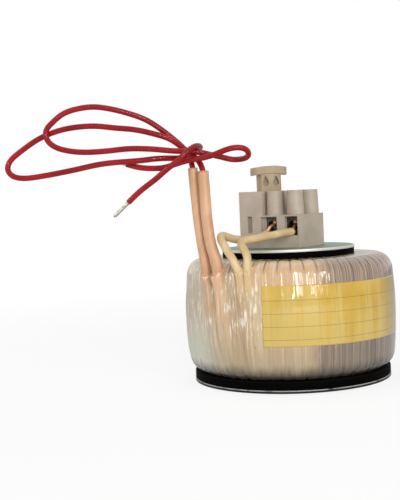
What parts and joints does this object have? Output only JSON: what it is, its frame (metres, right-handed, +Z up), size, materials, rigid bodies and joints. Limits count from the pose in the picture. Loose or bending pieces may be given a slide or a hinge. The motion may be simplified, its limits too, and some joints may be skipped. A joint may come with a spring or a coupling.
{
  "type": "toroidal mains transformer with fused terminal block",
  "caption": "Film-wrapped toroidal mains transformer with mounting disc, fused terminal block on top and a loose hank of red secondary leads.",
  "frame": {"origin": "middle of the bottom disc's underside, on the axis of the ring", "axes": "+Z up along the ring's axis, from the mounting disc to the terminal block; +X from the fuse to the neutral pole; -Y is the side of the block's supply wires"},
  "size_m": [0.1188, 0.1116, 0.106],
  "materials": {
    "steel_strip": "bare wound strip",
    "polyester_wrap": "translucent film",
    "enamelled_copper": "enamelled",
    "winding_film": "glossy clear film over windings",
    "yellow_label": "film covered paper, blank",
    "black_rubber": "matt",
    "zinc_plated_steel": "dull zinc plate",
    "beige_moulding": "satin moulded",
    "tan_moulding": "satin moulded",
    "plated_clamp": "dull nickel plate on brass",
    "clear_glass": "clear",
    "nickel_plate": "bright",
    "salmon_sleeve": "satin, soft",
    "red_insulation": "glossy PVC",
    "tinned_copper": "tinned strands",
    "cream_sleeve": "satin, soft",
    "bare_copper": "bright bare copper",
    "contact_brass": "bright spring brass",
    "black_coated_steel": "black coated, satin"
  },
  "bodies": {
    "transformer": {"core": "steel_strip", "core_insulation": "polyester_wrap", "primary_winding": "enamelled_copper", "inter_winding_insulation": "polyester_wrap", "secondary_winding": "enamelled_copper", "outer_film": "winding_film", "label": "yellow_label", "bottom_rubber_washer": "black_rubber", "bottom_steel_disc": "black_coated_steel", "top_rubber_washer": "black_rubber", "top_steel_disc": "zinc_plated_steel", "centre_bolt": "zinc_plated_steel", "centre_nut": "zinc_plated_steel", "nut_washer": "zinc_plated_steel", "terminal_housing": "beige_moulding", "live_supply_clamp": "plated_clamp", "live_fuse_clamp": "plated_clamp", "neutral_clamp": "plated_clamp", "clamp_screws": "zinc_plated_steel", "lower_fuse_contact": "contact_brass", "upper_fuse_contact": "contact_brass", "secondary_sleeve_left": "salmon_sleeve", "secondary_sleeve_right": "salmon_sleeve", "red_lead_a": "red_insulation", "red_lead_b": "red_insulation", "tinned_end_a": "tinned_copper", "tinned_end_b": "tinned_copper", "primary_sleeve_left": "cream_sleeve", "primary_sleeve_right": "cream_sleeve", "primary_conductor_left": "bare_copper", "primary_conductor_right": "bare_copper"},
    "fuse_carrier": {"fuse_carrier": "tan_moulding", "fuse_glass": "clear_glass", "fuse_caps": "nickel_plate", "fuse_wire": "nickel_plate"}
  },
  "joints": [
    {"name": "fuse_carrier_slide", "type": "slide", "parent": "transformer", "child": "fuse_carrier", "axis": [0, 0, 1], "range_m": [0, 0.024]}
  ]
}
